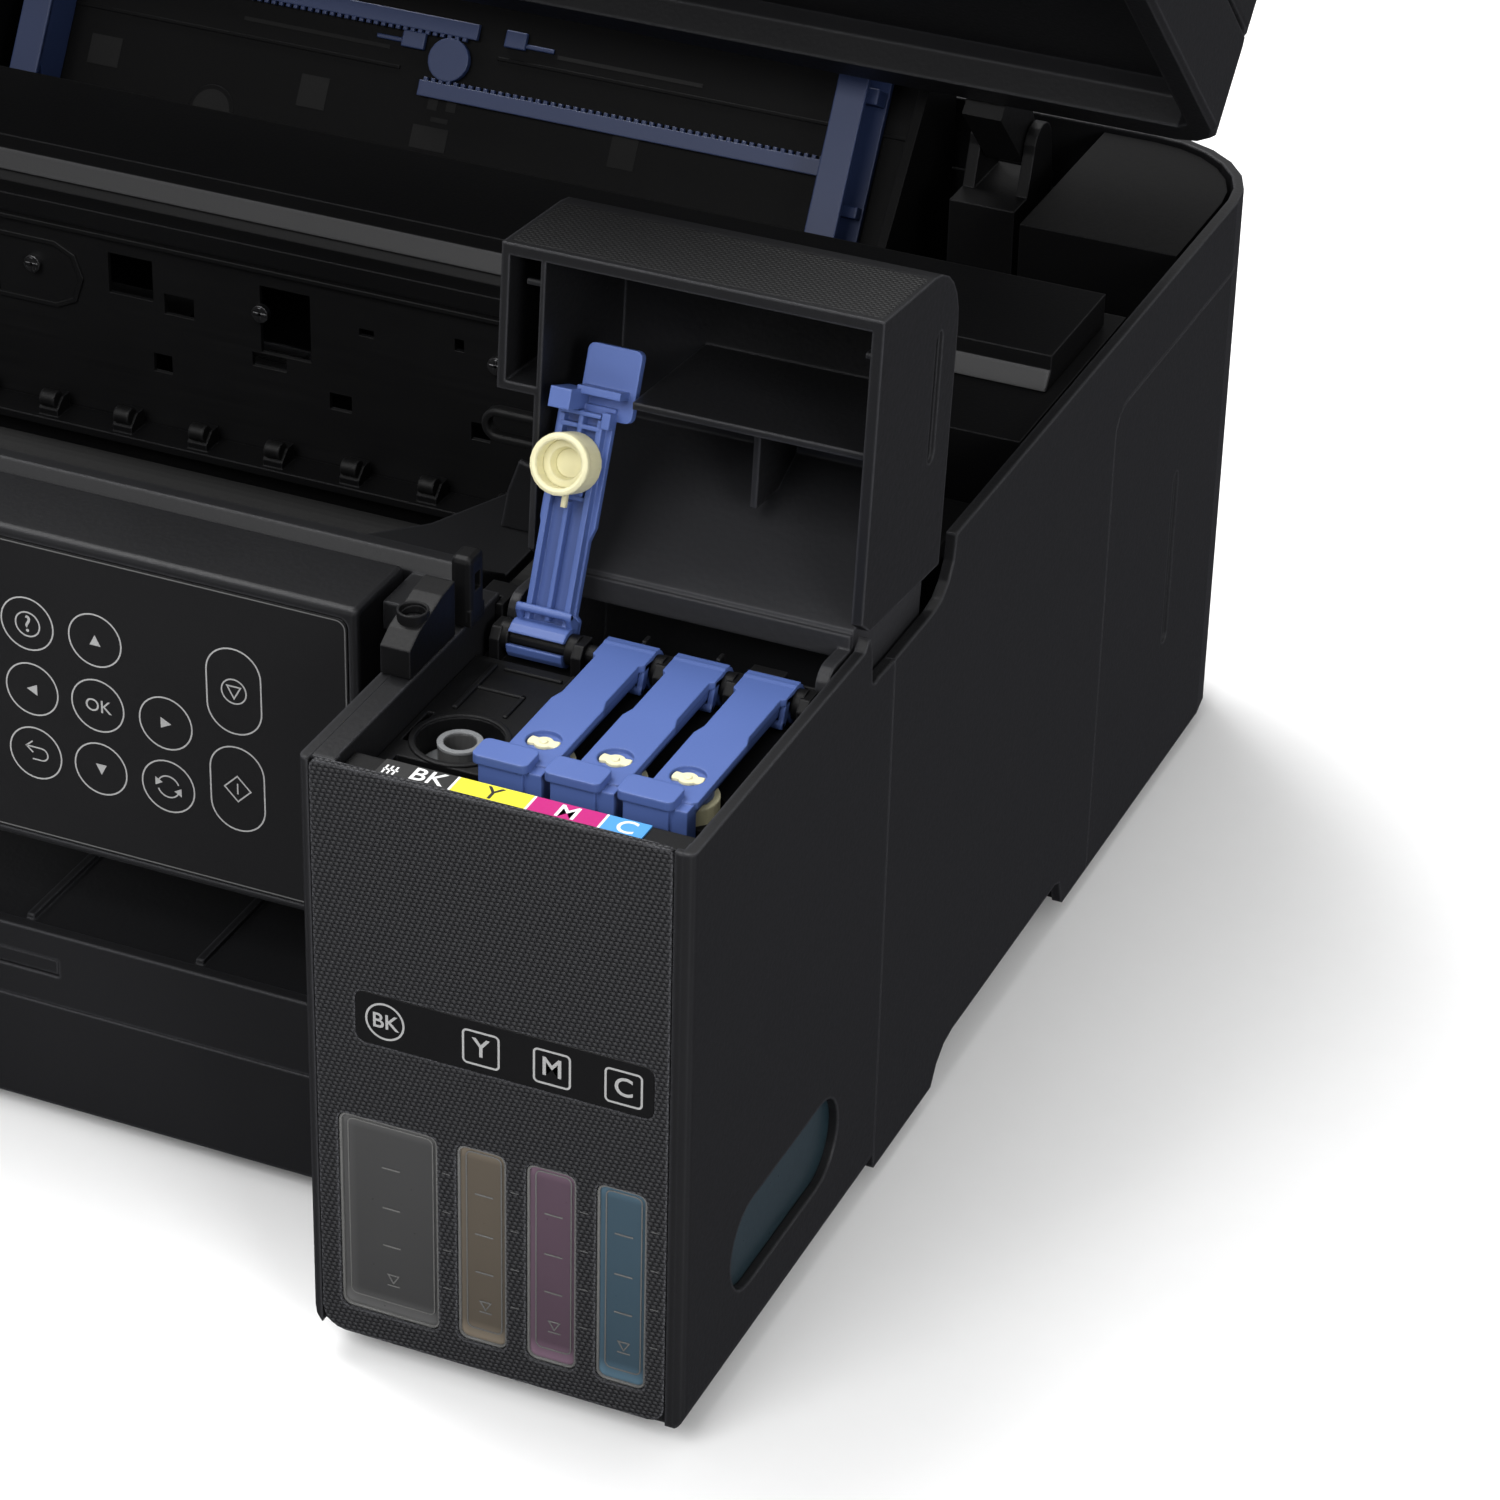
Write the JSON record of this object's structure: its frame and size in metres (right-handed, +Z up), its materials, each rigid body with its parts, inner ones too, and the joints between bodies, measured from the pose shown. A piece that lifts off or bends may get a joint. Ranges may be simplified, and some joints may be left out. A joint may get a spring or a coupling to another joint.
{
  "type": "inkjet printer",
  "caption": "Multifunction inkjet printer with refillable ink tanks at its front corner, shown with the scanner unit raised, the tank cover open and the black ink cap lever up",
  "frame": {"origin": "on the table, under the middle of the body's footprint", "axes": "+X to the printer's right as seen from the front, +Y to its back, +Z up; the front faces -Y"},
  "size_m": [0.375, 0.347, 0.3602],
  "materials": {
    "black_casing": "fine moulded grain, satin",
    "dark_inner_casing": "matte",
    "woven_front": "fine woven relief",
    "printed_label": "printed film, satin",
    "translucent_tank": "translucent",
    "blue_plastic": "satin",
    "cream_rubber": "soft matte",
    "sheet_metal": "dull plated steel",
    "black_rubber": "matte",
    "white_foam": "soft matte foam",
    "scanner_glass": "clear"
  },
  "bodies": {
    "base": {"base_tray": "dark_inner_casing", "body_shell": "black_casing", "rear_cover": "black_casing", "foot_front_left": "black_rubber", "foot_rear_left": "black_rubber", "foot_rear_right": "black_rubber", "foot_front_right": "black_rubber", "tank_case": "black_casing", "tank_front_skin": "woven_front", "ink_tank_bk": "translucent_tank", "ink_tank_y": "translucent_tank", "ink_tank_m": "translucent_tank", "ink_tank_c": "translucent_tank", "tank_deck": "dark_inner_casing", "lever_rod": "dark_inner_casing", "tank_post": "dark_inner_casing", "hinge_block": "black_casing", "hinge_screw": "sheet_metal", "cover_hinge_boss": "dark_inner_casing", "front_frame": "black_casing", "housing_left": "dark_inner_casing", "housing_right": "dark_inner_casing", "cross_bar": "dark_inner_casing", "chassis_plate": "sheet_metal", "platen": "dark_inner_casing", "pinch_holder": "dark_inner_casing", "carriage_rod": "sheet_metal", "feeder_plate": "dark_inner_casing", "rear_box": "black_casing", "power_inlet": "dark_inner_casing", "data_port": "sheet_metal", "hinge_bracket_left": "dark_inner_casing", "hinge_bracket_right": "dark_inner_casing"},
    "cover": {"tank_cover": "black_casing"},
    "black_lever": {"lever_bk": "blue_plastic", "cap_bk": "cream_rubber"},
    "yellow_lever": {"lever_y": "blue_plastic", "cap_y": "cream_rubber"},
    "magenta_lever": {"lever_m": "blue_plastic", "cap_m": "cream_rubber"},
    "cyan_lever": {"lever_c": "blue_plastic", "cap_c": "cream_rubber"},
    "panel": {"panel_housing": "black_casing", "panel_film": "printed_label"},
    "power_key": {"power_button": "black_casing"},
    "tray": {"output_tray": "black_casing"},
    "extension": {"tray_extension": "black_casing"},
    "feed_shaft": {"feed_roller": "sheet_metal"},
    "exit_shaft": {"exit_roller": "sheet_metal"},
    "carriage": {"print_carriage": "dark_inner_casing"},
    "left_guide": {"edge_guide_left": "blue_plastic"},
    "right_guide": {"edge_guide_right": "blue_plastic"},
    "pinion": {"guide_pinion": "blue_plastic"},
    "scanner": {"scanner_housing": "black_casing", "scanner_glass": "scanner_glass", "scanner_arm_left": "sheet_metal", "scanner_arm_right": "sheet_metal"},
    "scan_unit": {"scan_head": "dark_inner_casing"},
    "lid": {"scanner_lid": "black_casing", "lid_pad": "white_foam"}
  },
  "joints": [
    {"name": "scanner_hinge", "type": "hinge", "parent": "base", "child": "scanner", "pos_m": [0, 0.15, 0.148], "axis": [-1, 0, 0], "range_deg": [-44, 0]},
    {"name": "lid_hinge", "type": "hinge", "parent": "scanner", "child": "lid", "pos_m": [0, 0.14866, 0.18404], "axis": [-1, 0, 0], "range_deg": [0, 75]},
    {"name": "scan_unit_slide", "type": "slide", "parent": "scanner", "child": "scan_unit", "axis": [1, 0, 0], "range_m": [0, 0.23]},
    {"name": "tank_cover_hinge", "type": "hinge", "parent": "base", "child": "cover", "pos_m": [0.145, -0.0964, 0.14], "axis": [-1, 0, 0], "range_deg": [-95, 0]},
    {"name": "black_lever_hinge", "type": "hinge", "parent": "base", "child": "black_lever", "pos_m": [0.1224, -0.104, 0.138], "axis": [-1, 0, 0], "range_deg": [-113.01, 0]},
    {"name": "yellow_lever_hinge", "type": "hinge", "parent": "base", "child": "yellow_lever", "pos_m": [0.1422, -0.104, 0.138], "axis": [-1, 0, 0], "range_deg": [0, 100]},
    {"name": "magenta_lever_hinge", "type": "hinge", "parent": "base", "child": "magenta_lever", "pos_m": [0.1577, -0.104, 0.138], "axis": [-1, 0, 0], "range_deg": [0, 100]},
    {"name": "cyan_lever_hinge", "type": "hinge", "parent": "base", "child": "cyan_lever", "pos_m": [0.1732, -0.104, 0.138], "axis": [-1, 0, 0], "range_deg": [0, 100]},
    {"name": "panel_tilt", "type": "hinge", "parent": "base", "child": "panel", "pos_m": [-0.0303, -0.107, 0.1408], "axis": [-1, 0, 0], "range_deg": [0, 45]},
    {"name": "power_key_travel", "type": "slide", "parent": "panel", "child": "power_key", "axis": [0, 1, 0], "range_m": [0, 0.0015], "stiffness_N_per_m": 400},
    {"name": "tray_slide", "type": "slide", "parent": "base", "child": "tray", "axis": [0, -1, 0], "range_m": [0, 0.09]},
    {"name": "tray_extension_slide", "type": "slide", "parent": "tray", "child": "extension", "axis": [0, -1, 0], "range_m": [0, 0.08]},
    {"name": "feed_roller_spin", "type": "hinge", "parent": "base", "child": "feed_shaft", "pos_m": [-0.0245, 0.02, 0.076], "axis": [1, 0, 0], "continuous": true},
    {"name": "exit_roller_spin", "type": "hinge", "parent": "base", "child": "exit_shaft", "pos_m": [-0.0245, -0.03, 0.076], "axis": [1, 0, 0], "continuous": true},
    {"name": "carriage_slide", "type": "slide", "parent": "base", "child": "carriage", "axis": [-1, 0, 0], "range_m": [0, 0.255]},
    {"name": "left_guide_slide", "type": "slide", "parent": "base", "child": "left_guide", "axis": [1, 0, 0], "range_m": [0, 0.045]},
    {"name": "right_guide_slide", "type": "slide", "parent": "base", "child": "right_guide", "axis": [-1, 0, 0], "range_m": [0, 0.045]},
    {"name": "pinion_spin", "type": "hinge", "parent": "base", "child": "pinion", "pos_m": [-0.0245, 0.14846, 0.14025], "axis": [0, -0.866, 0.5], "range_deg": [-442, 5]}
  ],
  "couplings": [
    {"joint": "black_lever_hinge", "follows": "tank_cover_hinge", "ratio": 1.1895},
    {"joint": "exit_roller_spin", "follows": "feed_roller_spin", "ratio": 1},
    {"joint": "right_guide_slide", "follows": "left_guide_slide", "ratio": 1},
    {"joint": "pinion_spin", "follows": "left_guide_slide", "rad_per_m": -169.49}
  ]
}
